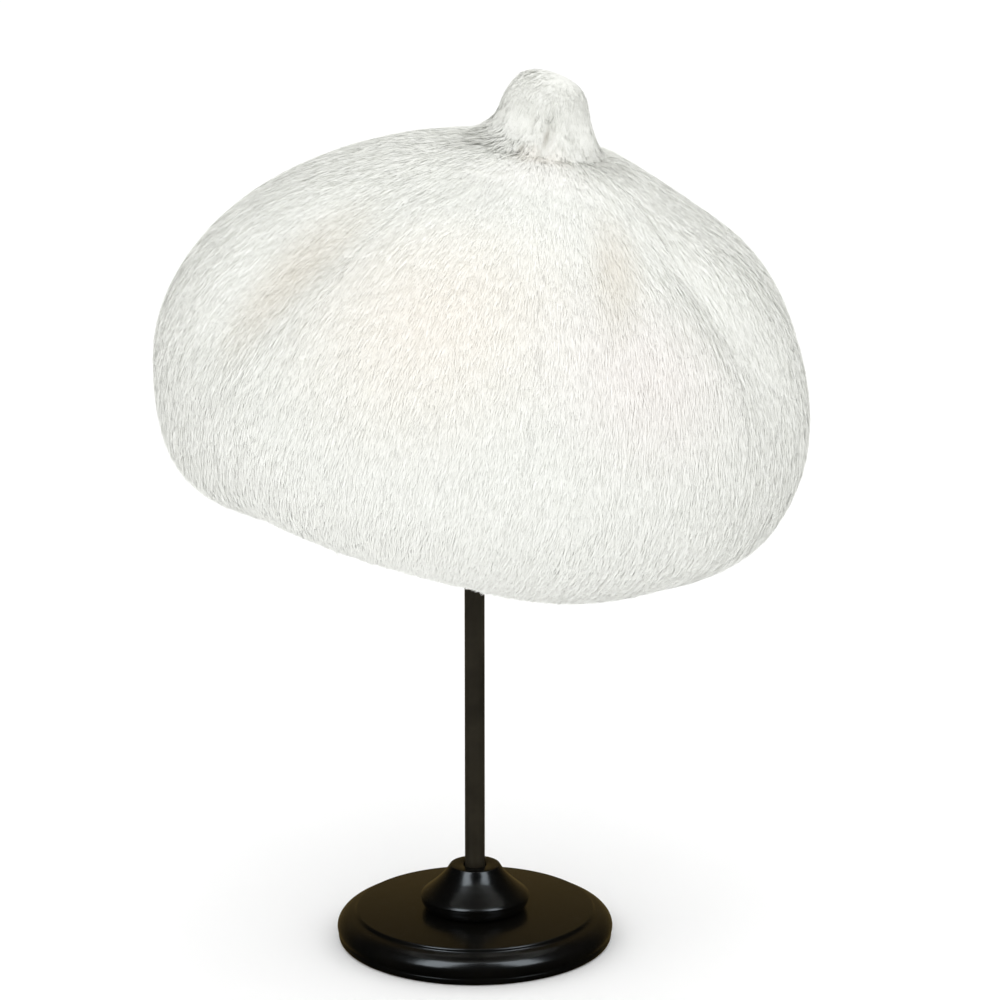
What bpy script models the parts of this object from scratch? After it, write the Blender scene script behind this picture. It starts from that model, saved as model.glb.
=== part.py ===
"""A white faux fur beret, sewn from eight gores round a fur knob, on a black turned display stand.

Metres, +Z up. The origin is the centre of the stand's underside. The front faces -Y and +X is to the right.
The crown is a loft: closed sections, each a leaning ellipse, run from the knob over the top, down the sides
and round under the rim to the head opening. The gores are cut from that loft at the seams.
"""

import math
from collections import namedtuple

import bmesh
import bpy
import numpy as np

# Clearance between neighbouring pieces, between gores along a seam, and from the crown to the rest inside it.
GAP = 0.0003
SEAM_GAP = 0.0004
SEAT_GAP = 0.0004

# The crown's tip, where the gores meet under the knob, and the thickness of backing and pile together.
APEX = (0.0300, 0.0, 0.3635)
WALL = 0.0060

Section = namedtuple("Section", "name drop half_width half_depth shift_right shift_back lean")
SECTIONS = (
    # name, drop below the tip, half width, half depth, shift to the right and to the back of the tip,
    # and lean in degrees, right side down
    Section("tip", 0.0000, 0.0060, 0.0060, 0.0000, 0.000, 9.0),
    Section("cap", -0.0020, 0.0340, 0.0330, -0.0035, 0.002, 9.5),
    Section("brow", 0.0115, 0.0750, 0.0730, -0.0100, 0.003, 9.0),
    Section("shoulder", 0.0365, 0.1150, 0.1100, -0.0175, 0.002, 7.0),
    Section("flank", 0.0705, 0.1380, 0.1310, -0.0220, 0.000, 8.5),
    Section("girth", 0.1075, 0.1465, 0.1360, -0.0265, -0.002, 10.0),
    Section("drop", 0.1455, 0.1355, 0.1290, -0.0335, -0.002, 10.5),
    Section("turn", 0.1650, 0.1065, 0.1040, -0.0405, 0.000, 12.5),
    Section("tuck", 0.1660, 0.0935, 0.0915, -0.0395, 0.000, 12.5),
    Section("fold", 0.1605, 0.0855, 0.0835, -0.0390, 0.000, 12.5),
    Section("hem", 0.1510, 0.0825, 0.0805, -0.0385, 0.000, 12.5),
)

# Seams, and the gores between each seam and the next. Azimuths are in degrees from +X, so -90 (or 270) faces
# the front. Each seam drifts from its azimuth under the knob to the one at the rim.
Seam = namedtuple("Seam", "name knob_azimuth rim_azimuth")
SEAMS = (
    Seam("front", -82.0, -84.5),
    Seam("front_right", -39.0, -36.0),
    Seam("right", 6.0, 8.0),
    Seam("rear_right", 51.0, 51.0),
    Seam("rear", 97.0, 95.0),
    Seam("rear_left", 142.0, 139.0),
    Seam("left", 187.0, 182.0),
    Seam("front_left", 235.5, 221.0),
)
GORES = ("front_right", "right", "right_rear", "rear_right", "rear_left", "left_rear", "left", "front_left")
DRIFT_START = 0.42
DRIFT_END = 0.78
SEAM_DIP = 0.0024
SEAM_REACH = 0.0065

Fold = namedtuple("Fold", "name top_azimuth foot_azimuth top foot depth half_angle")
FOLDS = (
    # name, azimuth at its upper and lower end, where it starts and ends as a share of the way from
    # knob to hem, depth (negative stands out) and the half angle where it is half as deep
    Fold("left_valley", -126.0, -150.0, 0.17, 0.59, 0.0080, 7.0),
    Fold("left_ridge", -152.0, -164.0, 0.17, 0.55, -0.0025, 7.0),
    Fold("left_corner", -158.0, -156.0, 0.60, 0.92, -0.0058, 11.0),
    Fold("right_dent", -61.0, -65.0, 0.13, 0.41, 0.0048, 4.5),
    Fold("right_valley", -53.0, -22.0, 0.12, 0.57, 0.0068, 5.5),
    Fold("right_ridge", -37.0, -6.0, 0.17, 0.50, -0.0025, 6.0),
    Fold("side_valley", 24.0, 28.0, 0.15, 0.48, 0.0042, 7.0),
    Fold("rear_right_valley", 60.0, 52.0, 0.14, 0.55, 0.0060, 7.0),
    Fold("rear_dent", 116.0, 120.0, 0.15, 0.42, 0.0045, 6.0),
    Fold("rear_left_valley", 140.0, 152.0, 0.15, 0.55, 0.0062, 8.0),
    Fold("rim_sag", -66.0, -66.0, 0.70, 0.94, -0.0022, 15.0),
    Fold("rim_tuck", -35.0, -35.0, 0.66, 0.92, 0.0016, 6.0),
)

# Points across a gore, as shares of its width, closer at the seams, and steps from the tip to the hem.
ACROSS = (0.0, 0.06, 0.2, 0.4, 0.6, 0.8, 0.94, 1.0)
CROWN_STEPS = 26

# The knob: its foot lies on the crown out to this share of the way to the hem, and its body rises above
# the tip.
KNOB_FOOT = 0.096
KNOB_LIP = 0.0012
KNOB_SAG = 0.0008
KNOB_SIDES = 36
KNOB_FOOT_RINGS = 4
KNOB_BODY_RINGS = 10
PLEATS = 9
PLEAT_DEPTH = 0.0009
CLEFT_AZIMUTH = -87.0
CLEFT_DEPTH = 0.0030
CLEFT_HALF_ANGLE = 14.0

KnobRow = namedtuple("KnobRow", "name rise half_width half_depth shift_right lean pleat")
KNOB_ROWS = (
    # name, rise above the crown's tip, half width, half depth, shift to the right, lean, share of the pleats
    KnobRow("root", 0.0052, 0.0276, 0.0268, -0.0012, 9.5, 0.6),
    KnobRow("neck", 0.0112, 0.0232, 0.0226, -0.0002, 7.5, 1.0),
    KnobRow("waist", 0.0184, 0.0198, 0.0196, 0.0010, 5.0, 0.8),
    KnobRow("head", 0.0258, 0.0180, 0.0177, 0.0012, 5.0, 0.2),
    KnobRow("brow", 0.0314, 0.0138, 0.0136, 0.0016, 6.0, 0.0),
    KnobRow("crest", 0.0350, 0.0082, 0.0082, 0.0000, 6.0, 0.0),
    KnobRow("top", 0.0363, 0.0028, 0.0028, -0.0010, 5.0, 0.0),
)

# The stand. Each profile is a row of (radius, height) points, from the top down the outside.
BASE_STEPS = 48
BASE_TOP = 0.0146
BASE_PROFILE = (
    (0.0000, BASE_TOP),
    (0.0536, BASE_TOP),
    (0.0541, 0.0141),
    (0.0542, 0.0131),
    (0.0550, 0.0128),
    (0.0577, 0.0122),
    (0.0602, 0.0107),
    (0.0619, 0.0086),
    (0.0625, 0.0064),
    (0.0622, 0.0046),
    (0.0614, 0.0036),
    (0.0620, 0.0026),
    (0.0616, 0.0009),
    (0.0605, 0.0000),
    (0.0000, 0.0000),
)
ROD_RADIUS = 0.0045
ROD_SIDES = 28
BORE_RADIUS = ROD_RADIUS + 0.0005
COLLAR_STEPS = 36
COLLAR_FOOT = BASE_TOP + GAP
COLLAR_TOP = 0.0352
COLLAR_PROFILE = (
    (BORE_RADIUS, COLLAR_TOP),
    (0.0111, COLLAR_TOP),
    (0.0115, 0.0347),
    (0.0129, 0.0324),
    (0.0149, 0.0299),
    (0.0178, 0.0270),
    (0.0210, 0.0242),
    (0.0238, 0.0220),
    (0.0247, 0.0208),
    (0.0242, 0.0197),
    (0.0243, 0.0185),
    (0.0236, 0.0170),
    (0.0222, COLLAR_FOOT),
    (BORE_RADIUS, COLLAR_FOOT),
)

# The rest inside the hat: a dome on the rod, which carries the crown from within.
REST_RADIUS = 0.0450
REST_CURVE = 0.0700
REST_EDGE = 0.0060
REST_SOCKET = 0.0160
REST_HUB = 0.0110
REST_HUB_DEPTH = 0.0080
REST_ROUND = 0.0020
REST_STEPS = 24
REST_RINGS = 6

# Steps used to measure slopes on the crown, in degrees and in shares of the way to the hem, and the distance
# within which turned points on the axis are one.
SLOPE_ANGLE = 0.5
SLOPE_SHARE = 0.002
MERGE = 0.00005

# Edges sharper than this, in degrees, stay sharp under smooth shading.
SHARP_ANGLE = 40.0

Finish = namedtuple("Finish", "name colour roughness metallic")
FUR = Finish("fur", (0.91, 0.905, 0.875), 0.85, 0.0)
LACQUER = Finish("lacquer", (0.012, 0.011, 0.010), 0.32, 0.0)
STEEL = Finish("rod_black", (0.030, 0.027, 0.022), 0.38, 0.4)


def clear_scene():
    """Empties the startup scene."""
    for obj in list(bpy.data.objects):
        bpy.data.objects.remove(obj, do_unlink=True)


def make_material(finish):
    """A Principled material with the finish's colour, roughness and metallic value."""
    material = bpy.data.materials.new(finish.name)
    material.use_nodes = True
    shader = material.node_tree.nodes["Principled BSDF"]
    shader.inputs["Base Color"].default_value = (*finish.colour, 1.0)
    shader.inputs["Roughness"].default_value = finish.roughness
    shader.inputs["Metallic"].default_value = finish.metallic
    return material


def add_object(name, mesh, material, collection):
    """Puts the mesh in the collection as one named, smooth-shaded object."""
    mesh.materials.append(material)
    mesh.shade_smooth()
    mesh.set_sharp_from_angle(angle=math.radians(SHARP_ANGLE))
    obj = bpy.data.objects.new(name, mesh)
    collection.objects.link(obj)
    return obj


def between_rows(rows, share):
    """The table's values at a share of the way down it, on a smooth curve through every row."""
    values = np.array([row[1:] for row in rows])
    steps = np.sqrt(np.hypot(np.diff(values[:, 0]), np.diff(values[:, 1])))
    knots = np.concatenate([[0.0], np.cumsum(steps)]) / steps.sum()
    slopes = np.gradient(values, knots, axis=0)
    share = np.asarray(share, float)
    row = np.clip(np.searchsorted(knots, share) - 1, 0, len(knots) - 2)
    span = (knots[row + 1] - knots[row])[..., None]
    t = (share[..., None] - knots[row][..., None]) / span
    return (
        values[row] * (2 * t**3 - 3 * t**2 + 1)
        + slopes[row] * span * (t**3 - 2 * t**2 + t)
        + values[row + 1] * (3 * t**2 - 2 * t**3)
        + slopes[row + 1] * span * (t**3 - t**2)
    )


def smooth_crown(azimuth, share):
    """Points of the crown without its folds, for azimuths in degrees and shares of the way to the hem."""
    azimuth, share = np.broadcast_arrays(np.asarray(azimuth, float), np.asarray(share, float))
    drop, half_width, half_depth, right, back, lean = np.moveaxis(between_rows(SECTIONS, share), -1, 0)
    turn, lean = np.radians(azimuth), np.radians(lean)
    along = half_width * np.cos(turn)
    across = half_depth * np.sin(turn)
    return np.stack(
        [
            APEX[0] + right + along * np.cos(lean),
            APEX[1] + back + across,
            APEX[2] - drop - along * np.sin(lean),
        ],
        axis=-1,
    )


def outward(azimuth, share):
    """The smooth crown's unit normals, and its length for each degree of azimuth."""
    low = np.maximum(share - SLOPE_SHARE, 0.0)
    high = np.minimum(share + SLOPE_SHARE, 1.0)
    round_way = smooth_crown(azimuth + SLOPE_ANGLE, share) - smooth_crown(azimuth - SLOPE_ANGLE, share)
    down_way = smooth_crown(azimuth, high) - smooth_crown(azimuth, low)
    normal = np.cross(down_way, round_way)
    normal /= np.linalg.norm(normal, axis=-1, keepdims=True)
    return normal, np.linalg.norm(round_way, axis=-1) / (2 * SLOPE_ANGLE)


def bump(distance):
    """A smooth hump: 1 at the middle, 0 from a distance of 1 outward."""
    return np.cos(np.clip(np.abs(distance), 0.0, 1.0) * math.pi / 2) ** 2


def fold_depth(azimuth, share):
    """How far the folds sink the crown at each point."""
    depth = np.zeros(np.broadcast(azimuth, share).shape)
    for fold in FOLDS:
        way = (share - fold.top) / (fold.foot - fold.top)
        centre = fold.top_azimuth + (fold.foot_azimuth - fold.top_azimuth) * np.clip(way, 0.0, 1.0)
        off = (azimuth - centre + 180.0) % 360.0 - 180.0
        depth = depth + fold.depth * bump(off / (2 * fold.half_angle)) * bump(2 * way - 1)
    return depth


def seam_azimuth(number, share):
    """The azimuth of a seam, counted on past the last one, at a share of the way to the hem."""
    turns, index = divmod(number, len(SEAMS))
    seam = SEAMS[index]
    way = np.clip((np.asarray(share, float) - DRIFT_START) / (DRIFT_END - DRIFT_START), 0.0, 1.0)
    drift = way * way * (3.0 - 2.0 * way)
    return 360.0 * turns + seam.knob_azimuth + (seam.rim_azimuth - seam.knob_azimuth) * drift


def crown_grid(number, shares):
    """Outer and inner points of one gore, as grids of shares by points across it."""
    shares = np.asarray(shares, float)[:, None]
    across = np.asarray(ACROSS)[None, :]
    start, end = seam_azimuth(number, shares), seam_azimuth(number + 1, shares)
    _, start_per_degree = outward(start, shares)
    _, end_per_degree = outward(end, shares)
    first = start + SEAM_GAP / 2 / start_per_degree
    last = end - SEAM_GAP / 2 / end_per_degree
    azimuth = first + (last - first) * across
    share = np.broadcast_to(shares, azimuth.shape)
    normal, per_degree = outward(azimuth, share)
    from_seam = np.minimum(azimuth - start, end - azimuth) * per_degree
    dip = SEAM_DIP * bump(from_seam / SEAM_REACH) + fold_depth(azimuth, share)
    outer = smooth_crown(azimuth, share) - normal * dip[..., None]
    return outer, outer - normal * WALL


def loft(rings, closed_ends=True):
    """A closed body through rings of points, each ring in the same order, with flat ends."""
    body = bmesh.new()
    rows = [[body.verts.new(point) for point in ring] for ring in rings]
    for upper, lower in zip(rows, rows[1:]):
        for i in range(len(upper)):
            k = (i + 1) % len(upper)
            body.faces.new((upper[i], upper[k], lower[k], lower[i]))
    if closed_ends:
        body.faces.new(rows[0][::-1])
        body.faces.new(rows[-1])
    bmesh.ops.recalc_face_normals(body, faces=body.faces)
    return body


def to_mesh(name, body):
    """A mesh of the bmesh, which is freed."""
    mesh = bpy.data.meshes.new(name)
    body.to_mesh(mesh)
    body.free()
    return mesh


def make_gore(number, material, collection):
    """One gore: a padded wall lofted from knob to hem, each ring going out along it and back inside."""
    shares = np.linspace(0.0, 1.0, CROWN_STEPS + 1)
    outer, inner = crown_grid(number, shares)
    rings = [np.concatenate([out_row, in_row[::-1]]) for out_row, in_row in zip(outer, inner)]
    name = "gore_" + GORES[number]
    body = loft(rings, closed_ends=False)
    body.verts.ensure_lookup_table()
    count, last = len(ACROSS), len(rings) - 1
    for row, flip in ((0, False), (last, True)):
        first = row * 2 * count
        for i in range(count - 1):
            corners = [first + i, first + i + 1, first + 2 * count - 2 - i, first + 2 * count - 1 - i]
            body.faces.new([body.verts[c] for c in (corners if flip else corners[::-1])])
    bmesh.ops.recalc_face_normals(body, faces=body.faces)
    return add_object(name, to_mesh(name, body), material, collection)


def knob_crown_ring(azimuth, share, height):
    """A ring of the knob that follows the crown at a height above it."""
    share = np.full(len(azimuth), share)
    normal, _ = outward(azimuth, share)
    return smooth_crown(azimuth, share) + normal * height


def knob_body_ring(azimuth, share):
    """A ring of the knob's own body, with its pleats and the cleft at its front."""
    rise, half_width, half_depth, right, lean, pleat = between_rows(KNOB_ROWS, share)
    off_cleft = (azimuth - CLEFT_AZIMUTH + 180.0) % 360.0 - 180.0
    turn, lean = np.radians(azimuth), math.radians(lean)
    pinch = PLEAT_DEPTH * np.cos(turn * PLEATS) + CLEFT_DEPTH * bump(off_cleft / CLEFT_HALF_ANGLE)
    along = (half_width - pleat * pinch) * np.cos(turn)
    across = (half_depth - pleat * pinch) * np.sin(turn)
    return np.stack(
        [
            APEX[0] + right + along * math.cos(lean),
            APEX[1] + across,
            APEX[2] + rise - along * math.sin(lean),
        ],
        axis=-1,
    )


def make_knob(material, collection):
    """The fur knob: an underside that lies on the gores, a flared foot and a rounded head."""
    azimuth = np.arange(KNOB_SIDES) * 360.0 / KNOB_SIDES
    under = [knob_crown_ring(azimuth, share, GAP) for share in np.linspace(0.0, KNOB_FOOT, KNOB_FOOT_RINGS)]
    lip = knob_crown_ring(azimuth, KNOB_FOOT, GAP + KNOB_LIP)
    body = [knob_body_ring(azimuth, share) for share in np.linspace(0.0, 1.0, KNOB_BODY_RINGS)]
    foot = (lip + body[0]) / 2 - np.array([0.0, 0.0, KNOB_SAG])
    mesh = to_mesh("knob", loft([*under, lip, foot, *body]))
    return add_object("knob", mesh, material, collection)


def make_turned(name, profile, steps, material, collection, ring=False):
    """A turned piece: its profile, from the top down the outside, swept round the axis by a Screw."""
    mesh = bpy.data.meshes.new(name)
    edges = [(i, i + 1) for i in range(len(profile) - 1)]
    if ring:
        edges.append((len(profile) - 1, 0))
    mesh.from_pydata([(radius, 0.0, height) for radius, height in profile], edges, [])
    obj = add_object(name, mesh, material, collection)
    screw = obj.modifiers.new("turn", "SCREW")
    screw.axis = "Z"
    screw.steps = screw.render_steps = steps
    screw.use_merge_vertices = True
    screw.merge_threshold = MERGE
    screw.use_smooth_shade = True
    return obj


def rest_crest():
    """Height of the rest's crest where the nearest part of the crown's inside clears it by SEAT_GAP."""
    azimuth, share = np.meshgrid(np.arange(360.0), np.arange(0.0, 0.5, SLOPE_SHARE))
    normal, _ = outward(azimuth, share)
    depth = WALL + fold_depth(azimuth, share) + SEAM_DIP
    inside = (smooth_crown(azimuth, share) - normal * depth[..., None]).reshape(-1, 3)
    off_axis = np.hypot(inside[:, 0], inside[:, 1])
    near = off_axis < REST_RADIUS
    reach = REST_CURVE + SEAT_GAP
    centre = inside[near, 2] - np.sqrt(reach**2 - off_axis[near] ** 2)
    return centre.min() + REST_CURVE


def rest_profile(crest):
    """The rest's profile: dome, rounded edge, underside, hub and the blind socket for the rod."""
    half_angle = math.asin((REST_RADIUS - REST_EDGE / 2) / REST_CURVE)
    centre = crest - REST_CURVE
    dome = []
    for i in range(REST_RINGS + 1):
        angle = half_angle * i / REST_RINGS
        dome.append((REST_CURVE * math.sin(angle), centre + REST_CURVE * math.cos(angle)))
    rim = dome[-1][1]
    under = rim - REST_EDGE
    mouth = under - REST_HUB_DEPTH
    edge = [
        (REST_RADIUS, rim - REST_ROUND),
        (REST_RADIUS, under + REST_ROUND),
        (REST_RADIUS - REST_EDGE / 2, under),
    ]
    hub = [(REST_HUB + REST_ROUND, under), (REST_HUB, under - REST_ROUND), (REST_HUB, mouth)]
    socket = [(BORE_RADIUS, mouth), (BORE_RADIUS, mouth + REST_SOCKET), (0.0, mouth + REST_SOCKET)]
    return [*dome, *edge, *hub, *socket]


def make_rod(top, material, collection):
    """The straight rod, from just above the base up into the rest's socket."""
    foot = BASE_TOP + GAP
    body = bmesh.new()
    bmesh.ops.create_cone(
        body,
        cap_ends=True,
        segments=ROD_SIDES,
        radius1=ROD_RADIUS,
        radius2=ROD_RADIUS,
        depth=top - foot,
    )
    obj = add_object("stand_rod", to_mesh("stand_rod", body), material, collection)
    obj.location = (0.0, 0.0, (top + foot) / 2)
    return obj


def main():
    clear_scene()
    hat = bpy.data.collections.new("faux_fur_beret_on_stand")
    bpy.context.scene.collection.children.link(hat)
    fur, lacquer, steel = (make_material(finish) for finish in (FUR, LACQUER, STEEL))
    for number in range(len(GORES)):
        make_gore(number, fur, hat)
    make_knob(fur, hat)
    make_turned("stand_base", BASE_PROFILE, BASE_STEPS, lacquer, hat)
    make_turned("stand_collar", COLLAR_PROFILE, COLLAR_STEPS, lacquer, hat, ring=True)
    rest = rest_profile(rest_crest())
    make_turned("stand_rest", rest, REST_STEPS, lacquer, hat)
    socket_top = rest[-1][1]
    make_rod(socket_top - GAP, steel, hat)


main()
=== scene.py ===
import math
from collections import namedtuple

import bmesh
import bpy
import numpy as np
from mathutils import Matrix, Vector
from mathutils.kdtree import KDTree


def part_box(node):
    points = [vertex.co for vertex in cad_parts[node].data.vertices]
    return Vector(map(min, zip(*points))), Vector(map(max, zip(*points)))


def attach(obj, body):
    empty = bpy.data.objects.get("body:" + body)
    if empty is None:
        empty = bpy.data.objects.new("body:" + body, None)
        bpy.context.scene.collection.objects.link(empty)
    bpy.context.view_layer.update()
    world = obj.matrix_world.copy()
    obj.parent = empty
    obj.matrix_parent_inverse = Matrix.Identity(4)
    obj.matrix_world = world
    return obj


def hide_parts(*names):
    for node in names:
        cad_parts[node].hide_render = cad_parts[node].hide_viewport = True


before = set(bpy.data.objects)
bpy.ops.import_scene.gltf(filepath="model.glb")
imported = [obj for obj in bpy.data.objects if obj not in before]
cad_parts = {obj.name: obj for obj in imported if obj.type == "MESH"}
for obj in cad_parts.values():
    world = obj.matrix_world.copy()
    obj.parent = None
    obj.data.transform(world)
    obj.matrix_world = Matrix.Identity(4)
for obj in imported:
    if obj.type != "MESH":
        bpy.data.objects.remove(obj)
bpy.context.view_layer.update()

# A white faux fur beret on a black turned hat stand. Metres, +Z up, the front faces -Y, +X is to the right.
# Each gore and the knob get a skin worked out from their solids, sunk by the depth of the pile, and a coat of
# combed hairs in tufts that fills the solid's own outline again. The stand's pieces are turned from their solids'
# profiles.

rng = np.random.default_rng(5)

# The camera's place, its pitch below the horizon in degrees, its focal length on a sensor this wide, in mm, and
# how far it sees.
CAMERA_PLACE = (0.01134, -2.08822, 0.79951)
CAMERA_PITCH = 15.86
SENSOR = 36.0
LENS = 176.4
CLIP_END = 50.0

# The white studio's light, and the studio as the stand's lacquer mirrors it: nearly black, with a brown wall behind
# and two soft boxes in a faintly blue light.
STUDIO_LIGHT = 1.085
STUDIO_BLACK = (0.004, 0.004, 0.003)
WALL_BROWN = (0.16, 0.112, 0.040)
BOX_BLUE = (0.84, 0.93, 1.0)

# The lights: each one's place, target, width, height and power, and whether it lights cloth or shines in gloss.
HAT, STAND = (0.0, 0.0, 0.25), (0.0, 0.0, 0.03)
Light = namedtuple("Light", "name place target width height power on_cloth")
LIGHTS = (
    Light("front", (0.05, -2.5, 2.7), HAT, 2.5, 2.5, 12.0, True),
    Light("overhead", (0.0, -0.6, 3.0), HAT, 2.5, 2.5, 7.0, True),
    Light("shine_left", (-0.80, -0.98, 1.50), STAND, 0.80, 1.70, 34.0, False),
    Light("shine_right", (0.93, -0.85, 1.45), STAND, 0.70, 1.60, 26.0, False),
)
FLOOR_RADIUS = 12.0

# The crown's own axis runs from the middle of the head opening up to the knob.
OPENING_MIDDLE = np.array((-0.0085, 0.0, 0.2125))
CROWN_TIP = np.array((0.0300, 0.0, 0.3635))

# Corners of a solid closer than this are one, and its triangles are paired into quads up to this bend. A gore's side
# is found from a face that faces this much up or down, and ends at edges sharper than this many degrees. The skins
# are subdivided this many times.
WELD = 0.00001
QUAD_LIMIT = math.radians(50.0)
SIDE_FACING = 0.5
SIDE_EDGE = 38.0
SKIN_LEVELS = 2

# How far each gore's cut edges are let out, so that the gores meet at their seams as sewn ones do.
SEAM_CLOSE = 0.00060

# How far the dips along the solids' seams are filled by the pile that meets there, how far the dips reach to either
# side, and how much the pile leans away across them and is shorter there. An edge is a seam where it runs the pile's
# way by at least this share. Points on seams are taken this many to an edge.
SEAM_FILL = 0.0021
SEAM_REACH = 0.0065
SEAM_LEAN = 0.12
SEAM_SHORTER = 0.15
ALONG = 0.6
SEAM_POINTS = 12

# A coat: the pile's depth and how deep its roots sink; a hair's length and a tuft's radius; the hairs in a tuft and
# the tufts on a square metre; a hair's lift at its root and tip and their spread, in degrees; its width and its roll;
# how far the tips gather; how much the comb strays, in degrees; and how wide the pile parts at a seam.
Coat = namedtuple(
    "Coat", "pile sink length spread per_tuft tufts lift_root lift_tip ruffle width roll gather stray parting"
)
CROWN_COAT = Coat(
    pile=0.0008,
    sink=0.0002,
    length=0.0088,
    spread=0.0022,
    per_tuft=8,
    tufts=240000.0,
    lift_root=5.0,
    lift_tip=0.0,
    ruffle=1.8,
    width=0.00040,
    roll=6.0,
    gather=0.20,
    stray=7.0,
    parting=0.0045,
)
KNOB_COAT = CROWN_COAT._replace(
    pile=0.0007,
    length=0.0040,
    spread=0.0011,
    tufts=620000.0,
    ruffle=4.0,
    width=0.00036,
)

# How the lengths of tufts and of their hairs vary, how the widths do, and how much more a hair lifts at its tip.
TUFT_SPREAD = 0.12
HAIR_SPREAD = 0.14
WIDTH_RANGE = (0.75, 1.25)
TIP_LIFT = 1.3

# A hair's normals: its own share in them, beside the skin's, and how far they turn out at its edges.
OWN_NORMAL = 0.05
ROUNDNESS = 0.06

# The pile is painted darker within this distance of a seam, as painted shade along it where it parts, fully so
# from this nearness up, and there by this share of its tone. The skin has an even tone.
SEAM_SHADE_REACH = 0.0014
SEAM_SHADE_FULL = 0.7
SEAM_SHADE = 0.9
SKIN_TONE = 0.5


def unit(vectors):
    """The vectors, each made one long."""
    return vectors / np.maximum(np.linalg.norm(vectors, axis=-1, keepdims=True), 1e-12)


AXIS = unit(CROWN_TIP - OPENING_MIDDLE)

# The pile's white and the patches laid over it: tints of cream and pink, painted shade and painted light. Each
# patch's middle, the way it runs, its half length and half width, and its colour.
WHITE = (0.935, 0.943, 0.903)
# The knob's white: the pile's white made darker as painted shade, since the knob catches more light.
KNOB_SHADED_WHITE = (0.870, 0.877, 0.836)
CREAM = (0.958, 0.928, 0.866)
PINK = (0.950, 0.928, 0.896)
# Painted shade, in beige, where the crown's folds dip.
BEIGE_FOLD_SHADE = (0.850, 0.828, 0.760)
# Painted shade on the crown beside the knob's foot.
KNOB_SIDE_SHADE = (0.835, 0.840, 0.800)
# Painted light: it lifts the knob's shadow on the crown, and is a painted highlight on the knob's crease lips.
PAINTED_LIGHT = (0.985, 0.983, 0.950)
# Painted shade in the knob's creases, which are also pressed into its skin.
CREASE_SHADE = (0.600, 0.585, 0.530)
SHADE = (0.898, 0.906, 0.866)
Tint = namedtuple("Tint", "name middle way half_length half_width colour")
TINTS_PAINTED_LIGHT_AND_SHADE = (
    Tint("front", (-0.015, -0.120, 0.322), (-1.0, -0.2, -0.4), 0.095, 0.075, CREAM),
    Tint("front_right", (0.070, -0.110, 0.290), (1.0, 0.3, -0.5), 0.070, 0.055, PINK),
    # Painted shade in the dents of the crown's folds.
    Tint("left_dent_shade", (-0.0750, -0.0730, 0.3255), (-0.67, -0.29, -0.63), 0.066, 0.0250, BEIGE_FOLD_SHADE),
    Tint("right_dent", (0.0600, -0.0830, 0.3285), (0.02, -0.50, -0.34), 0.050, 0.0180, BEIGE_FOLD_SHADE),
    Tint("top_shade", (0.0000, -0.0600, 0.3510), (1.0, 0.0, -0.1), 0.060, 0.0240, SHADE),
    Tint("knob_foot", (0.0310, -0.0300, 0.3690), (1.0, 0.0, 0.0), 0.022, 0.0100, CREAM),
    # Painted light over the knob's shadow on the crown, and a painted highlight on the crease lips.
    Tint("knob_apron_light", (0.0300, -0.0420, 0.3640), (1.0, 0.0, 0.0), 0.045, 0.0200, PAINTED_LIGHT),
    Tint("crease_lips_highlight", (0.0325, -0.0215, 0.3725), (-0.13, -0.3, -1.0), 0.0110, 0.0060, PAINTED_LIGHT),
    # Painted shade in the knob's creases.
    Tint("crease_main_shade", (0.0315, -0.0196, 0.3727), (-0.13, -0.58, -0.81), 0.0085, 0.0026, CREASE_SHADE),
    Tint("crease_left_shade", (0.0252, -0.0206, 0.3791), (-0.20, -0.42, -0.90), 0.0055, 0.0019, CREASE_SHADE),
    Tint("crease_low_shade", (0.0204, -0.0262, 0.3700), (-0.32, -0.65, -0.53), 0.0045, 0.0019, CREASE_SHADE),
    # Painted shade beside the knob's foot, left and right.
    Tint("knob_left_shade", (-0.0040, -0.0150, 0.3700), (-1.0, -0.1, 0.1), 0.022, 0.0120, KNOB_SIDE_SHADE),
    Tint("knob_right_shade", (0.0590, -0.0150, 0.3600), (1.0, -0.2, -0.3), 0.020, 0.0120, KNOB_SIDE_SHADE),
)

# The knob's foot: its radius and its lean as a slope, right side down. Between two heights over it the pile comes
# to turn down, in degrees, and to be longer, unevenly. Above that, between two distances from the crown's axis, it
# comes to be shorter by a share.
KNOB_FOOT_RADIUS = 0.030
KNOB_LEAN = 0.167
FOOT_REACH = (0.010, 0.002)
KNOB_DROOP = 4.0
KNOB_FRINGE = 1.9
FRINGE_RANGE = (0.3, 1.5)
CREST_REACH = (0.012, 0.004)
CREST_SHORTER = 0.5

# The foot merges into the crown between two distances from the crown's axis: it sinks by the tuck, and its pile lies
# as the crown's does, which slopes out by a share. Under it the crown swells, as a share of its pile, over this reach
# outside the foot, and no lower than this below the crown's tip. The knob's underside is the faces whose normals rise
# less than this.
KNOB_MERGE = (0.0215, 0.0285)
KNOB_TUCK = 0.0014
CROWN_SLOPE = 0.25
KNOB_SWELL = 2.5
SWELL_REACH = 0.012
SWELL_LOW = 0.03
UNDERSIDE_FACING = -0.2

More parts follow.
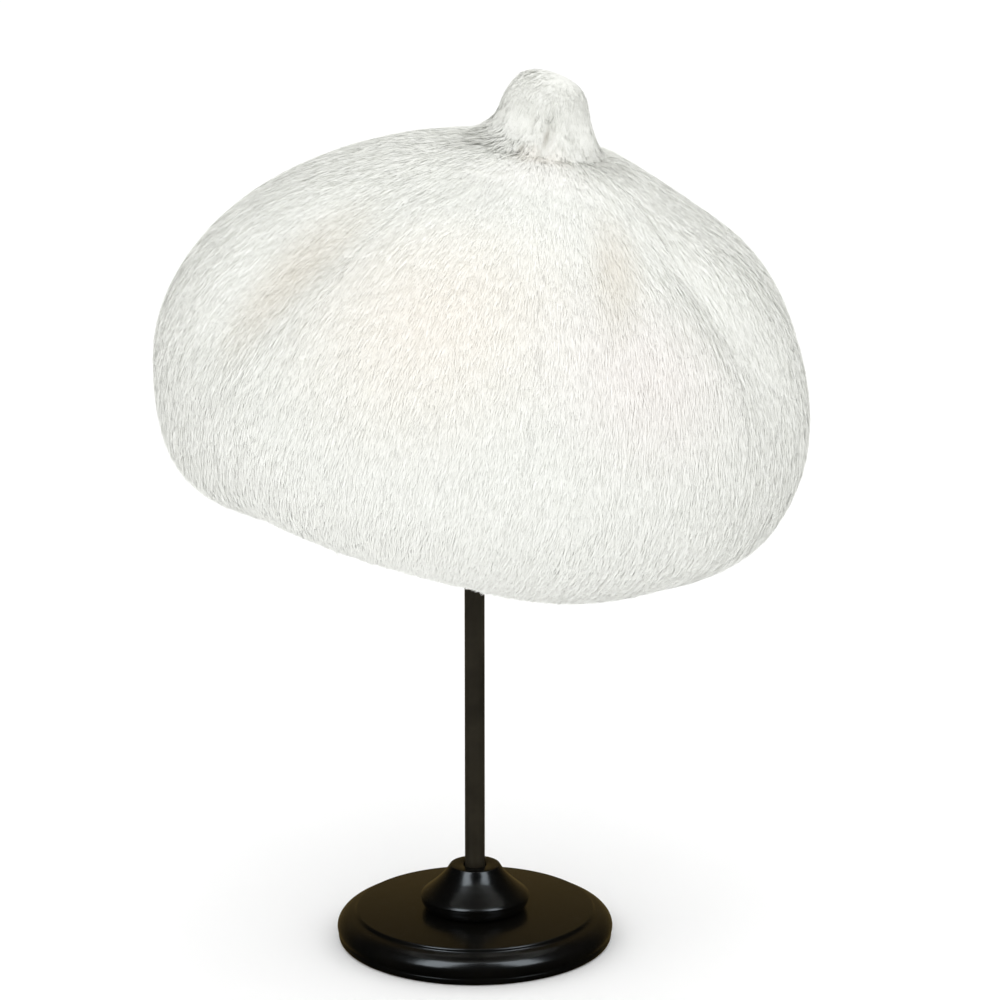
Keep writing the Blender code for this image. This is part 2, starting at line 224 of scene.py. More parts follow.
# The creases gathered into the knob's front: points across and up, from top to bottom, with their half width and
# depth.
Crease = namedtuple("Crease", "name points half_width depth")
CREASES = (
    Crease("main", ((0.0327, 0.3803), (0.0335, 0.3765), (0.0322, 0.3722), (0.0303, 0.3685)), 0.0019, 0.0026),
    Crease("right_lip", ((0.0345, 0.3790), (0.0355, 0.3755), (0.0342, 0.3718), (0.0320, 0.3690)), 0.0009, 0.0006),
    Crease("left", ((0.0272, 0.3822), (0.0257, 0.3791), (0.0249, 0.3760)), 0.0012, 0.0018),
    Crease("low_left", ((0.0180, 0.3722), (0.0200, 0.3698), (0.0212, 0.3680)), 0.0012, 0.0020),
    Crease("right", ((0.0400, 0.3745), (0.0418, 0.3710), (0.0425, 0.3682)), 0.0013, 0.0012),
)

# The stand's turned pieces: the limits of two cuts that ease each corner, the cuts' share of its shorter side, and
# the steps round a broad piece and round the rod.
EASE_LIMITS = (0.0006, 0.0003)
EASE_SHARE = 0.28
STAND_STEPS, ROD_STEPS = 144, 64

# The texture map: the ring inside the rim that the skins run round, out from the crown's axis and up from the
# opening, the width of one side's half of the map, and the map's margin.
RING_OUT, RING_UP = 0.1, 0.03
MAP_WIDTH = 0.48
MAP_MARGIN = 0.01


def combed(points, normals):
    """Unit directions in which the pile lies: away from the knob, down over the rim and in to the opening."""
    round_way = np.cross(AXIS, points - OPENING_MIDDLE)
    return unit(np.cross(round_way, normals))


def welded(node):
    """A solid of the frame as a bmesh, its split corners merged and its triangles paired into quads."""
    body = bmesh.new()
    body.from_mesh(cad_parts[node].data)
    bmesh.ops.remove_doubles(body, verts=body.verts, dist=WELD)
    bmesh.ops.join_triangles(
        body,
        faces=body.faces,
        angle_face_threshold=QUAD_LIMIT,
        angle_shape_threshold=QUAD_LIMIT,
    )
    body.normal_update()
    return body


def one_side(body, up):
    """A gore's outer faces (up is 1) or inner ones (up is -1): all that the highest face on that side reaches
    without crossing a sharp edge."""
    limit = math.cos(math.radians(SIDE_EDGE))
    facing = [face for face in body.faces if face.normal.z * up > SIDE_FACING]
    seed = max(facing, key=lambda face: face.calc_center_median().z)
    reached, queue = {seed}, [seed]
    while queue:
        face = queue.pop()
        for edge in face.edges:
            for other in edge.link_faces:
                if other not in reached and other.normal.dot(face.normal) > limit:
                    reached.add(other)
                    queue.append(other)
    return reached


def move_faces(faces, distance):
    """Moves the vertices of these faces out by a distance, which a function gives for each vertex, along the mean
    normal of those faces alone."""
    normals = {}
    for face in faces:
        for vert in face.verts:
            normals[vert] = normals.get(vert, Vector()) + face.normal * face.calc_area()
    for vert, normal in normals.items():
        vert.co += normal.normalized() * distance(vert)


def tree_of(points):
    """A tree that finds the nearest of these points."""
    tree = KDTree(len(points))
    for i, point in enumerate(points):
        tree.insert(point, i)
    tree.balance()
    return tree


def cut_points(side):
    """Points along a side's cut edges, which run the way the pile lies."""
    found = []
    for face in side:
        for edge in face.edges:
            if side.issuperset(edge.link_faces):
                continue
            one, other = (np.array(vert.co) for vert in edge.verts)
            if abs(unit(other - one) @ combed((one + other) / 2, np.array(face.normal))) > ALONG:
                found.extend(one + (other - one) * share for share in np.linspace(0.0, 1.0, SEAM_POINTS))
    return found


def crease_between(body, *sides):
    """Marks the edges where these sides meet other faces, so that smoothing keeps them sharp."""
    crease = body.edges.layers.float.new("crease_edge")
    for edge in body.edges:
        if any(len(side.intersection(edge.link_faces)) == 1 for side in sides):
            edge[crease] = 1.0


def smoothed(body, name):
    """The body's subdivided mesh. The body is freed."""
    rough = bpy.data.meshes.new(name)
    body.to_mesh(rough)
    body.free()
    obj = bpy.data.objects.new(name, rough)
    bpy.context.scene.collection.objects.link(obj)
    subdivision = obj.modifiers.new("smooth", "SUBSURF")
    subdivision.levels = subdivision.render_levels = SKIN_LEVELS
    bpy.context.view_layer.update()
    fine = bpy.data.meshes.new_from_object(obj.evaluated_get(bpy.context.evaluated_depsgraph_get()))
    bpy.data.objects.remove(obj)
    return fine


Skin = namedtuple("Skin", "points faces sizes slots triangles outer normals")


def read_skin(mesh):
    """The skin's points, faces, and for the outer faces (slot 0) their triangles and smooth normals."""
    points = np.empty(len(mesh.vertices) * 3, np.float32)
    mesh.vertices.foreach_get("co", points)
    points = points.reshape(-1, 3).astype(float)
    corners = np.empty(len(mesh.loops), np.int32)
    mesh.loops.foreach_get("vertex_index", corners)
    sizes = np.empty(len(mesh.polygons), np.int32)
    mesh.polygons.foreach_get("loop_total", sizes)
    slots = np.empty(len(mesh.polygons), np.int32)
    mesh.polygons.foreach_get("material_index", slots)
    mesh.calc_loop_triangles()
    triangles = np.empty(len(mesh.loop_triangles) * 3, np.int32)
    mesh.loop_triangles.foreach_get("vertices", triangles)
    owners = np.empty(len(mesh.loop_triangles), np.int32)
    mesh.loop_triangles.foreach_get("polygon_index", owners)
    triangles = triangles.reshape(-1, 3)
    outer = triangles[slots[owners] == 0]
    inner = triangles[slots[owners] != 0]
    normals = summed_normals(points, inner)
    outer_normals = summed_normals(points, outer)
    on_outer = np.zeros(len(points), bool)
    on_outer[outer] = True
    normals[on_outer] = outer_normals[on_outer]
    bpy.data.meshes.remove(mesh)
    return Skin(points, corners, sizes, slots, outer, on_outer, unit(normals))


def summed_normals(points, triangles):
    """For each point, the area-weighted sum of its triangles' normals."""
    a, b, c = (points[triangles[:, i]] for i in range(3))
    face = np.cross(b - a, c - a)
    total = np.zeros_like(points)
    for i in range(3):
        np.add.at(total, triangles[:, i], face)
    return total


def scatter(skin, per_area):
    """Points spread evenly over the skin's outer side, with their normals."""
    a, b, c = (skin.points[skin.triangles[:, i]] for i in range(3))
    areas = np.linalg.norm(np.cross(b - a, c - a), axis=1) / 2
    reach = np.cumsum(areas)
    count = int(reach[-1] * per_area)
    places = (np.arange(count) + rng.random(count)) / count * reach[-1]
    chosen = np.minimum(np.searchsorted(reach, places), len(areas) - 1)
    u, v = rng.random(count), rng.random(count)
    over = u + v > 1.0
    u[over], v[over] = 1.0 - u[over], 1.0 - v[over]
    shares = np.stack([1.0 - u - v, u, v], axis=1)[:, :, None]
    corners = skin.triangles[chosen]
    return (skin.points[corners] * shares).sum(1), unit((skin.normals[corners] * shares).sum(1))


def seam_points(skin):
    """Points along the skin's seams: edges of its outer side that run the way the pile lies."""
    edges = np.concatenate([skin.triangles[:, pair] for pair in ([0, 1], [1, 2], [2, 0])])
    edges, times = np.unique(np.sort(edges, 1), axis=0, return_counts=True)
    rim = edges[times == 1]
    a, b = skin.points[rim[:, 0]], skin.points[rim[:, 1]]
    middle = (a + b) / 2
    along = unit(b - a)
    lie = combed(middle, skin.normals[rim[:, 0]])
    seam = np.abs((along * lie).sum(1)) > ALONG
    shares = np.linspace(0.0, 1.0, SEAM_POINTS)[:, None]
    return (a[seam][:, None] + (b - a)[seam][:, None] * shares).reshape(-1, 3)


def away_from(points, seams, reach):
    """For each point, how near it is to a seam (1 on it, 0 from reach on) and the direction away from it."""
    near, away = np.zeros(len(points)), np.zeros_like(points)
    if not len(seams):
        return near, away
    tree = tree_of(seams)
    for i, place in enumerate(points):
        found, _, distance = tree.find(place)
        if distance < reach:
            near[i] = 1.0 - distance / reach
            away[i] = place - np.array(found)
    return near, unit(away)


def turned(vectors, normals, degrees):
    """The vectors turned about the normals by these angles."""
    angle = np.radians(degrees)[..., None]
    return vectors * np.cos(angle) + np.cross(normals, vectors) * np.sin(angle)


def step(low, high, values):
    """A smooth step from 0 at low to 1 at high."""
    way = np.clip((values - low) / (high - low), 0.0, 1.0)
    return way * way * (3.0 - 2.0 * way)


def from_axis(points):
    """Distances from the crown's axis."""
    off = points - CROWN_TIP
    return np.linalg.norm(off - (off @ AXIS)[..., None] * AXIS, axis=-1)


def pile_share(point):
    """The share of the pile's depth by which the crown's skin is sunk: all of it, but swollen under the knob."""
    if point.z < CROWN_TIP[2] - SWELL_LOW:
        return 1.0
    return 1.0 - KNOB_SWELL * step(KNOB_FOOT_RADIUS + SWELL_REACH, KNOB_FOOT_RADIUS, from_axis(np.array(point)))


def even_pile(points):
    """The crown's pile lies alike everywhere: no more lift, in degrees, and its plain length."""
    return np.zeros(len(points)), np.ones(len(points))


def pile_of_knob(points):
    """The knob's pile turns down and is longer at its foot, where it lies over the crown's, and is short at its
    crest."""
    foot = CROWN_TIP[2] - (points[:, 0] - CROWN_TIP[0]) * KNOB_LEAN
    at_foot = step(*FOOT_REACH, points[:, 2] - foot)
    at_crest = step(*CREST_REACH, from_axis(points)) * (1.0 - at_foot)
    longer = (KNOB_FRINGE - 1.0) * at_foot * rng.uniform(*FRINGE_RANGE, len(points))
    return -KNOB_DROOP * at_foot, (1.0 + longer) * (1.0 - CREST_SHORTER * at_crest)


def hairs(skin, coat, groom):
    """Every hair of a coat as four points and their normals: the root, two halfway and the tip. Also how much each
    hair gets the painted shade along a seam."""
    centres, normals = scatter(skin, coat.tufts)
    seams = seam_points(skin)
    near, away = away_from(centres, seams, coat.parting)
    lie = combed(centres, normals)
    lie = unit(turned(lie, normals, rng.normal(0.0, coat.stray, len(lie))) - away * near[:, None] * SEAM_LEAN)
    lie = unit(lie - normals * (lie * normals).sum(1, keepdims=True))
    lift, share = groom(centres)
    length = coat.length * share * rng.normal(1.0, TUFT_SPREAD, len(centres)) * (1.0 - SEAM_SHORTER * near)
    many = len(centres) * coat.per_tuft

    def each(values):
        return np.repeat(values, coat.per_tuft, axis=0)

    up, way = each(normals), each(lie)
    side = np.cross(up, way)
    radius = coat.spread * np.sqrt(rng.random(many))[:, None]
    turn = rng.random(many)[:, None] * 2.0 * math.pi
    root = each(centres) + radius * (np.cos(turn) * way + np.sin(turn) * side) - up * coat.sink
    reach = each(length) * rng.normal(1.0, HAIR_SPREAD, many)
    own = turned(way, up, rng.normal(0.0, coat.stray, many))

    def bent(start, along, normal, size, lift):
        """Halfway and end points of a hair that rises from its root and lies over at its tip."""
        rise = np.radians(coat.lift_root + lift + rng.normal(0.0, coat.ruffle, len(start)))[:, None]
        lean = np.radians(coat.lift_tip + lift * TIP_LIFT + rng.normal(0.0, coat.ruffle, len(start)))[:, None]
        half = start + size[:, None] / 2 * (np.cos(rise) * along + np.sin(rise) * normal)
        return half, half + size[:, None] / 2 * (np.cos(lean) * along + np.sin(lean) * normal)

    half, tip = bent(root, own, up, reach, each(lift))
    _, tuft_tip = bent(centres, lie, normals, length, lift)
    tip = tip + (each(tuft_tip) - tip) * coat.gather
    along = unit(tip - root)
    across = unit(np.cross(along, up))
    across = turned(across, along, rng.normal(0.0, coat.roll, many))
    flat = unit(np.cross(across, along))
    facing = np.sign((flat * up).sum(1, keepdims=True))
    across, flat = across * facing, flat * facing
    wide = across * coat.width / 2 * rng.uniform(*WIDTH_RANGE, many)[:, None]
    # Painted shade along the seams: hairs whose middles lie near one are made darker.
    seam_shaded = step(0.0, SEAM_SHADE_FULL, away_from(half, seams, SEAM_SHADE_REACH)[0])
    points = np.stack([root, half - wide, half + wide, tip], axis=1)
    shade = unit(up * (1.0 - OWN_NORMAL) + flat * OWN_NORMAL)
    left, right = unit(shade - across * ROUNDNESS), unit(shade + across * ROUNDNESS)
    return points.reshape(-1, 3), np.stack([shade, left, right, shade], axis=1).reshape(-1, 3), seam_shaded


def bake_place(points, inner):
    """Texture coordinates by place: round the crown's axis, and from the tip down, the inner side beside it."""
    off = points - OPENING_MIDDLE
    round_share = np.arctan2(off[:, 1], off[:, 0]) / (2.0 * math.pi) + 0.5
    height = off @ AXIS
    out = np.linalg.norm(off - height[:, None] * AXIS, axis=1)
    down = (np.arctan2(out - RING_OUT, height - RING_UP) / math.pi) * 0.5 + 0.5
    low, high = round_share.min(), round_share.max()
    share = (round_share - low) / max(high - low, 1e-6)
    across = share * MAP_WIDTH + inner * 0.5 + MAP_MARGIN
    return np.stack([across, down * (1.0 - 2.0 * MAP_MARGIN) + MAP_MARGIN], axis=1)


def furred(name, skin, coat, groom, materials):
    """One mesh of a skin and its coat, with its own normals, tones and texture coordinates."""
    hair_points, hair_normals, seam_shaded = hairs(skin, coat, groom)
    many = len(hair_points) // 4
    tufts = np.repeat(rng.random(many // coat.per_tuft), coat.per_tuft)
    # The tones carry the painted shade along the seams.
    tones = np.repeat((0.5 * tufts + 0.5 * rng.random(many)) * (1.0 - SEAM_SHADE * seam_shaded), 4)
    points = np.concatenate([skin.points, hair_points])
    normals = np.concatenate([skin.normals, hair_normals])
    first = len(skin.points) + np.arange(many)[:, None] * 4
    blades = first + np.array([0, 2, 1, 1, 2, 3])
    corners = np.concatenate([skin.faces, blades.ravel()])
    sizes = np.concatenate([skin.sizes, np.full(many * 2, 3)])
    starts = np.concatenate([[0], np.cumsum(sizes)[:-1]])
    slots = np.concatenate([skin.slots, np.full(many * 2, 2)])
    mesh = bpy.data.meshes.new(name)
    mesh.vertices.add(len(points))
    mesh.vertices.foreach_set("co", points.astype(np.float32).ravel())
    mesh.loops.add(len(corners))
    mesh.loops.foreach_set("vertex_index", corners.astype(np.int32))
    mesh.polygons.add(len(sizes))
    mesh.polygons.foreach_set("loop_start", starts.astype(np.int32))
    mesh.polygons.foreach_set("material_index", slots.astype(np.int32))
    mesh.update(calc_edges=True)
    mesh.shade_smooth()
    inner = np.concatenate([~skin.outer, np.zeros(len(hair_points), bool)]).astype(float)
    layout = mesh.uv_layers.new(name="OFBake")
    layout.data.foreach_set("uv", bake_place(points, inner)[corners].astype(np.float32).ravel())
    custom = mesh.attributes.new("custom_normal", "FLOAT_VECTOR", "POINT")
    custom.data.foreach_set("vector", normals.astype(np.float32).ravel())
    tone = mesh.attributes.new("tone", "FLOAT", "POINT")
    values = np.concatenate([np.full(len(skin.points), SKIN_TONE), tones])
    tone.data.foreach_set("value", values.astype(np.float32))
    for material in materials:
        mesh.materials.append(material)
    obj = bpy.data.objects.new(name, mesh)
    bpy.context.scene.collection.objects.link(obj)
    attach(obj, "root")
    print(name, many, "hairs", len(corners) - 2 * len(sizes), "triangles", flush=True)
    return obj


def make_gore(node, materials):
    """A gore in fur: its wall with the outer side sunk by the pile, and the coat over it."""
    body = welded(node)
    outer, inner = one_side(body, 1), one_side(body, -1)
    for face in body.faces:
        face.material_index = 0 if face in outer else 1
    crease_between(body, outer, inner)
    seams = tree_of(cut_points(outer))

    def way_out(vert):
        """How far the skin lies out from the solid: sunk by the pile, and filled beside a seam."""
        distance = min(seams.find(vert.co)[2] / SEAM_REACH, 1.0)
        return SEAM_FILL * math.cos(distance * math.pi / 2) ** 2 - CROWN_COAT.pile * pile_share(vert.co)

    move_faces(outer, way_out)
    move_faces(set(body.faces) - outer - inner, lambda vert: SEAM_CLOSE)
    skin = read_skin(smoothed(body, "skin_" + node))
    piece = furred("fur_" + node, skin, CROWN_COAT, even_pile, materials)
    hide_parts(node)
    return piece


def crease_depth(points, middle):
    """How deep the knob's creases are at each point."""
    deep = np.zeros(len(points))
    front = points[:, 1] < middle.y
    flat = points[:, [0, 2]]
    for crease in CREASES:
        for start, end in zip(crease.points, crease.points[1:]):
            start, end = np.array(start), np.array(end)
            along = end - start
            share = np.clip((flat - start) @ along / (along @ along), 0.0, 1.0)
            off = np.linalg.norm(flat - start - share[:, None] * along, axis=1)
            deep = np.maximum(deep, front * crease.depth * np.exp(-((off / crease.half_width) ** 2)))
    return deep


def creased(skin, middle):
    """The knob's skin with the creases pressed in. Its underside keeps the normals that it had."""
    points = skin.points - skin.normals * crease_depth(skin.points, middle)[:, None]
    return skin._replace(points=points, normals=unit(summed_normals(points, skin.triangles) + skin.normals * 1e-9))


def merged(skin):
    """The knob's skin with its foot tucked in and its normals there turned to the crown's."""
    off = skin.points - CROWN_TIP
    outward = unit(off - (off @ AXIS)[:, None] * AXIS)
    share = step(*KNOB_MERGE, from_axis(skin.points))[:, None]
    normals = unit(skin.normals * (1.0 - share) + unit(AXIS + outward * CROWN_SLOPE) * share)
    return skin._replace(points=skin.points - AXIS * KNOB_TUCK * share, normals=normals)


def make_knob(materials):
    """The fur knob: its solid drawn in towards its own middle by the pile, and the coat over it."""
    body = welded("knob")
    low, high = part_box("knob")
    middle = (low + high) / 2
    half = (high - low) / 2
    for face in body.faces:
        face.material_index = 0 if face.normal.z > UNDERSIDE_FACING else 1
    for vert in body.verts:
        vert.co.x = middle.x + (vert.co.x - middle.x) * (1.0 - KNOB_COAT.pile / half.x)
        vert.co.y = middle.y + (vert.co.y - middle.y) * (1.0 - KNOB_COAT.pile / half.y)
        vert.co.z = low.z + (vert.co.z - low.z) * (1.0 - KNOB_COAT.pile / 2 / half.z)
    skin = merged(creased(read_skin(smoothed(body, "skin_knob")), middle))
    piece = furred("fur_knob", skin, KNOB_COAT, pile_of_knob, materials)
    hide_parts("knob")
    return piece


class Nodes:
    """A material's node tree, with short calls that add and link nodes."""

    def __init__(self, name):
        self.material = bpy.data.materials.new(name)
        self.material.use_nodes = True
        self.tree = self.material.node_tree
        self.shader = self.tree.nodes["Principled BSDF"]

    def add(self, kind, inputs=(), **settings):
        """A node of this kind with these settings. Its inputs are values or other nodes' outputs."""
        node = self.tree.nodes.new(kind)
        for key, value in settings.items():
            setattr(node, key, value)
        for key, value in dict(inputs).items():
            self.put(node.inputs[key], value)
        return node

    def put(self, socket, value):
        """Links the socket to an output, or sets its value."""
        if isinstance(value, bpy.types.NodeSocket):
            self.tree.links.new(value, socket)
        else:
            socket.default_value = value

    def set(self, **inputs):
        """Sets or links the shader's own sockets, named with _ for a space."""
        for key, value in inputs.items():
            self.put(self.shader.inputs[key.replace("_", " ")], value)

    def place(self):
        """The point's place in the object, in metres."""
        return self.add("ShaderNodeTexCoord").outputs["Object"]

    def noise(self, scale, detail=2.0, roughness=0.5):
        """A noise value at this scale, in cycles for each metre."""
        inputs = {"Vector": self.place(), "Scale": scale, "Detail": detail, "Roughness": roughness}
        return self.add("ShaderNodeTexNoise", inputs).outputs["Fac"]

    def ramp(self, value, *stops):
        """A colour ramp over the value, through (position, colour) stops."""
        node = self.add("ShaderNodeValToRGB", {"Fac": value})
        elements = node.color_ramp.elements
        while len(elements) < len(stops):
            elements.new(0.5)
        for element, (position, colour) in zip(elements, stops):
            element.position = position
            element.color = (*colour, 1.0)
        return node.outputs["Color"]

    def mix(self, share, first, second):
        """Two colours mixed by a share."""
        node = self.add("ShaderNodeMix", data_type="RGBA")
        self.put(node.inputs["Factor"], share)
        self.put(node.inputs["A"], first if isinstance(first, bpy.types.NodeSocket) else (*first, 1.0))
        self.put(node.inputs["B"], second if isinstance(second, bpy.types.NodeSocket) else (*second, 1.0))
        return node.outputs["Result"]

    def multiplied(self, first, second):
        """Two colours multiplied."""
        node = self.add("ShaderNodeMix", {"Factor": 1.0}, data_type="RGBA", blend_type="MULTIPLY")
        self.put(node.inputs["A"], first)
        self.put(node.inputs["B"], second)
        return node.outputs["Result"]

    def vector(self, operation, first, second=None):
        """A vector operation's outputs, on outputs or values."""
        node = self.add("ShaderNodeVectorMath", operation=operation)
        self.put(node.inputs[0], first)
        if second is not None:
            self.put(node.inputs[1], second)
        return node.outputs

    def scaled(self, vector, scale):
        """A vector times a number."""
        node = self.add("ShaderNodeVectorMath", {"Scale": scale}, operation="SCALE")
        self.put(node.inputs[0], vector)
        return node.outputs["Vector"]

    def patch(self, middle, way, half_length, half_width):
        """1 in the middle of a long soft patch that runs this way, falling to 0 at its edge."""
        way = tuple(float(part) for part in unit(np.array(way)))
        off = self.vector("SUBTRACT", self.place(), middle)["Vector"]
        along = self.vector("DOT_PRODUCT", off, way)["Value"]
        line = self.scaled(way, along)
        across = self.vector("SUBTRACT", off, line)["Vector"]
        long_part, wide_part = self.scaled(line, 1.0 / half_length), self.scaled(across, 1.0 / half_width)
        both = self.vector("ADD", long_part, wide_part)["Vector"]
        ranged = self.add(
            "ShaderNodeMapRange",
            {"Value": self.vector("LENGTH", both)["Value"], "From Min": 1.0, "From Max": 0.0},
            interpolation_type="SMOOTHSTEP",
        )
        return ranged.outputs["Result"]

    def bump(self, height, strength, distance):
        """A bump from a height."""
        inputs = {"Height": height, "Strength": strength, "Distance": distance}
        return self.add("ShaderNodeBump", inputs).outputs["Normal"]


def fur_colour(nodes, white):
    """The pile's white with the tints, the painted shade and the painted light laid over it in order."""
    colour = white
    for tint in TINTS_PAINTED_LIGHT_AND_SHADE:
        colour = nodes.mix(nodes.patch(tint.middle, tint.way, tint.half_length, tint.half_width), colour, tint.colour)
    return colour


def hair_material(name, white):
    """The combed pile, each hair and tuft in its own tone, with painted shade where it parts at a seam."""
    nodes = Nodes(name)
    tone = nodes.add("ShaderNodeAttribute", attribute_name="tone").outputs["Fac"]
    fine = nodes.ramp(tone, (0.0, (0.66, 0.66, 0.65)), (0.10, (0.95, 0.95, 0.945)), (0.80, (1.0, 1.0, 1.0)))
    nodes.set(Base_Color=nodes.multiplied(fur_colour(nodes, white), fine), Roughness=0.7, Specular_IOR_Level=0.1)
    return nodes.material


def skin_material(name, white):
    """The pile's dense underwool, seen between the hairs."""
    nodes = Nodes(name)
    wool = nodes.noise(900.0, 4.0, 0.7)
    shade = nodes.ramp(wool, (0.25, (0.90, 0.90, 0.89)), (0.75, (0.98, 0.98, 0.98)))
    nodes.set(Base_Color=nodes.multiplied(fur_colour(nodes, white), shade), Roughness=0.9, Specular_IOR_Level=0.1)
    nodes.set(Normal=nodes.bump(wool, 0.5, 0.0006))
    return nodes.material


def backing_material():
    """The knitted backing inside the hat: fine ribs of stitches."""
    nodes = Nodes("fur_backing")
    where = nodes.place()
    ribs = nodes.add("ShaderNodeTexWave", {"Vector": where, "Scale": 260.0, "Distortion": 1.2, "Detail": 2.0})
    rows = nodes.add(
        "ShaderNodeTexWave", {"Vector": where, "Scale": 330.0, "Distortion": 1.6, "Detail": 2.0}, bands_direction="Z"
    )
    knit = nodes.add("ShaderNodeMath", operation="MULTIPLY")
    nodes.put(knit.inputs[0], ribs.outputs["Fac"])
    nodes.put(knit.inputs[1], rows.outputs["Fac"])
    colour = nodes.ramp(knit.outputs["Value"], (0.0, (0.60, 0.585, 0.55)), (0.8, (0.80, 0.785, 0.75)))
    nodes.set(Base_Color=colour, Roughness=0.9, Specular_IOR_Level=0.2)
    nodes.set(Normal=nodes.bump(knit.outputs["Value"], 0.6, 0.0004))
    return nodes.material


def lacquer_material():
    """Satin black lacquer on turned wood: faint waves from the lathe and from the brush, warm where it is thin."""
    nodes = Nodes("black_lacquer")
    cloud = nodes.noise(35.0, 3.0)
    colour = nodes.ramp(cloud, (0.35, (0.0016, 0.0016, 0.0014)), (0.70, (0.0034, 0.0030, 0.0022)))
    rough = nodes.add("ShaderNodeMapRange", {"Value": nodes.noise(160.0, 4.0), "To Min": 0.17, "To Max": 0.25})
    nodes.set(Base_Color=colour, Roughness=rough.outputs["Result"], Specular_IOR_Level=0.35)
    nodes.set(Normal=nodes.bump(nodes.noise(240.0, 3.0), 0.08, 0.0006))
    return nodes.material


def rod_material():
    """The rod's satin brown-black enamel."""
    nodes = Nodes("rod_enamel")
    colour = nodes.ramp(nodes.noise(60.0, 3.0), (0.3, (0.024, 0.0205, 0.0130)), (0.7, (0.044, 0.037, 0.024)))
    rough = nodes.add("ShaderNodeMapRange", {"Value": nodes.noise(300.0, 3.0), "To Min": 0.28, "To Max": 0.42})
    nodes.set(Base_Color=colour, Roughness=rough.outputs["Result"], Metallic=0.3, Specular_IOR_Level=0.35)
    return nodes.material


def profile_of(node):
    """A turned solid's profile, as (radius, height) points in order, read off its edges at +X, and if it closes."""
    body = bmesh.new()
    body.from_mesh(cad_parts[node].data)
    bmesh.ops.remove_doubles(body, verts=body.verts, dist=WELD)
    start = min(math.atan2(v.co.y, v.co.x) % math.tau for v in body.verts if math.hypot(*v.co.xy) > WELD * 10)
    turn = Vector((math.cos(start), math.sin(start)))
    cut = {v for v in body.verts if abs(v.co.y * turn.x - v.co.x * turn.y) < WELD * 10 and v.co.xy @ turn > -WELD}
    links = {v: [e.other_vert(v) for e in v.link_edges if e.other_vert(v) in cut] for v in cut}
    ends = [v for v in cut if len(links[v]) == 1]
    here = max(ends, key=lambda v: v.co.z) if ends else max(cut, key=lambda v: (v.co.z, -v.co.x))
    order = [here]
    while True:
        ahead = [v for v in links[here] if v not in order]
        if not ahead:
            break
        here = max(ahead, key=lambda v: v.co.z) if len(order) == 1 and not ends else ahead[0]
        order.append(here)
    points = [(v.co.xy @ turn, v.co.z) for v in order]
    body.free()
    if ends:
        caps = [(0.0, points[i][1]) if points[i][0] > WELD else None for i in (0, -1)]
        points = [caps[0]] * bool(caps[0]) + points + [caps[1]] * bool(caps[1])
    return points, not ends


def rounded(points, closed, limit):
    """The profile with each corner cut by a share of its shorter side, but by no more than the limit."""
    result = []
    count = len(points)
    for i, point in enumerate(points):
        if not closed and i in (0, count - 1):
            result.append(point)
            continue
        here = Vector(point)
        before, after = Vector(points[i - 1]), Vector(points[(i + 1) % count])
        size = min(EASE_SHARE * min((before - here).length, (after - here).length), limit)
        result.append(tuple(here + (before - here).normalized() * size))
        result.append(tuple(here + (after - here).normalized() * size))
    return result


def turned_piece(node, material, steps):
    """A turned piece of the stand, finer than its solid and with eased edges."""
    points, closed = profile_of(node)
    for limit in EASE_LIMITS:
        points = rounded(points, closed, limit)
    edges = [(i, i + 1) for i in range(len(points) - 1)]
    if closed:
        edges.append((len(points) - 1, 0))
    mesh = bpy.data.meshes.new("turned_" + node)
    mesh.from_pydata([(radius, 0.0, height) for radius, height in points], edges, [])
    mesh.materials.append(material)
    obj = bpy.data.objects.new("turned_" + node, mesh)
    bpy.context.scene.collection.objects.link(obj)
    screw = obj.modifiers.new("turn", "SCREW")
    screw.steps = screw.render_steps = steps
    screw.use_merge_vertices = True
    screw.merge_threshold = WELD
    screw.use_smooth_shade = True
    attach(obj, "root")
    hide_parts(node)
    return obj


def make_floor():
    """A plain pale floor."""
    nodes = Nodes("floor")
    tone = nodes.ramp(nodes.noise(6.0, 2.0), (0.3, (0.965, 0.965, 0.965)), (0.7, (0.985, 0.985, 0.985)))
    nodes.set(Base_Color=tone, Roughness=0.9, Specular_IOR_Level=0.1)
    body = bmesh.new()
    bmesh.ops.create_circle(body, cap_ends=True, segments=96, radius=FLOOR_RADIUS)
    mesh = bpy.data.meshes.new("floor")
    body.to_mesh(mesh)
    body.free()
    mesh.materials.append(nodes.material)
    floor = bpy.data.objects.new("floor", mesh)
    floor.visible_glossy = False
    bpy.context.scene.collection.objects.link(floor)


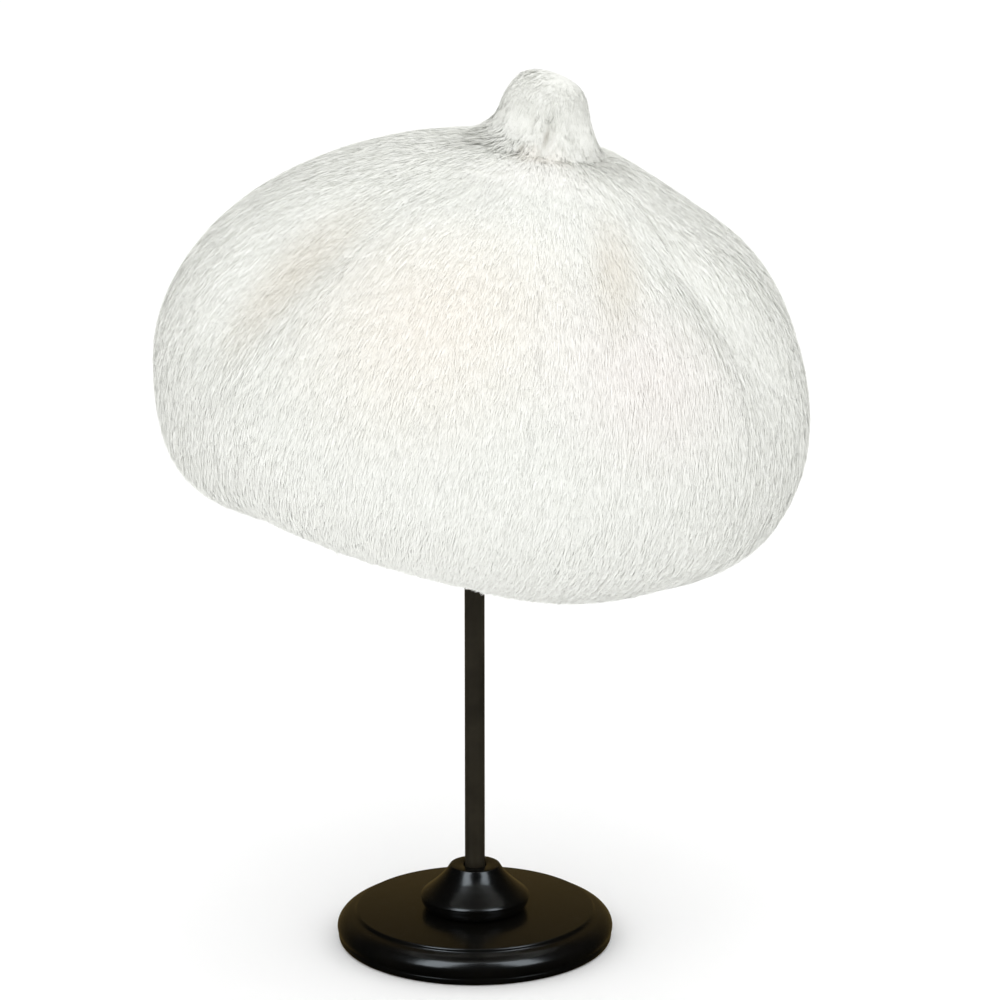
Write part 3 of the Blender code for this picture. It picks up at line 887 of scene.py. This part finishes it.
def make_world():
    """A white studio: white to the camera and on cloth. In the stand's reflections it is black, with a warm brown
    wall at the back."""
    world = bpy.data.worlds.new("studio")
    bpy.context.scene.world = world
    world.use_nodes = True
    tree = world.node_tree
    background = tree.nodes["Background"]
    path = tree.nodes.new("ShaderNodeLightPath")
    mix = tree.nodes.new("ShaderNodeMix")
    mix.data_type = "RGBA"
    mix.inputs["A"].default_value = (1.0, 1.0, 1.0, 1.0)
    tree.links.new(path.outputs["Is Glossy Ray"], mix.inputs["Factor"])
    split = tree.nodes.new("ShaderNodeSeparateXYZ")
    tree.links.new(tree.nodes.new("ShaderNodeTexCoord").outputs["Generated"], split.inputs["Vector"])
    wall = tree.nodes.new("ShaderNodeValToRGB")
    tree.links.new(split.outputs["Y"], wall.inputs["Fac"])
    for element, position, colour in zip(wall.color_ramp.elements, (0.45, 0.95), (STUDIO_BLACK, WALL_BROWN)):
        element.position = position
        element.color = (*colour, 1.0)
    tree.links.new(wall.outputs["Color"], mix.inputs["B"])
    tree.links.new(mix.outputs["Result"], background.inputs["Color"])
    background.inputs["Strength"].default_value = STUDIO_LIGHT


def make_light(light):
    """A soft light that faces its target. It either lights matt surfaces or shines in glossy ones."""
    area = bpy.data.lights.new(light.name, "AREA")
    area.shape = "RECTANGLE"
    area.size, area.size_y = light.width, light.height
    area.energy = light.power
    area.color = (1.0, 1.0, 1.0) if light.on_cloth else BOX_BLUE
    obj = bpy.data.objects.new(light.name, area)
    obj.location = light.place
    obj.rotation_euler = (Vector(light.target) - Vector(light.place)).to_track_quat("-Z", "Y").to_euler()
    obj.visible_diffuse, obj.visible_glossy = light.on_cloth, not light.on_cloth
    bpy.context.scene.collection.objects.link(obj)


def make_camera():
    """The photograph's camera."""
    camera = bpy.data.cameras.new("camera")
    camera.sensor_width = SENSOR
    camera.lens = LENS
    camera.clip_end = CLIP_END
    obj = bpy.data.objects.new("camera", camera)
    obj.location = CAMERA_PLACE
    obj.rotation_euler = (math.radians(90.0 - CAMERA_PITCH), 0.0, 0.0)
    bpy.context.scene.collection.objects.link(obj)
    bpy.context.scene.camera = obj


def main():
    bpy.context.scene.view_settings.view_transform = "Standard"
    make_camera()
    make_world()
    for light in LIGHTS:
        make_light(light)
    make_floor()
    backing = backing_material()
    fur = [skin_material("fur_underwool", WHITE), backing, hair_material("fur_hair", WHITE)]
    # The knob's materials take its darker white, painted shade.
    knob_fur = [skin_material("knob_underwool", KNOB_SHADED_WHITE), backing, hair_material("knob_hair", KNOB_SHADED_WHITE)]
    for node in sorted(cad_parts):
        if node.startswith("gore_"):
            make_gore(node, fur)
    make_knob(knob_fur)
    lacquer, enamel = lacquer_material(), rod_material()
    for node in ("stand_base", "stand_collar", "stand_rest"):
        turned_piece(node, lacquer, STAND_STEPS)
    turned_piece("stand_rod", enamel, ROD_STEPS)


main()
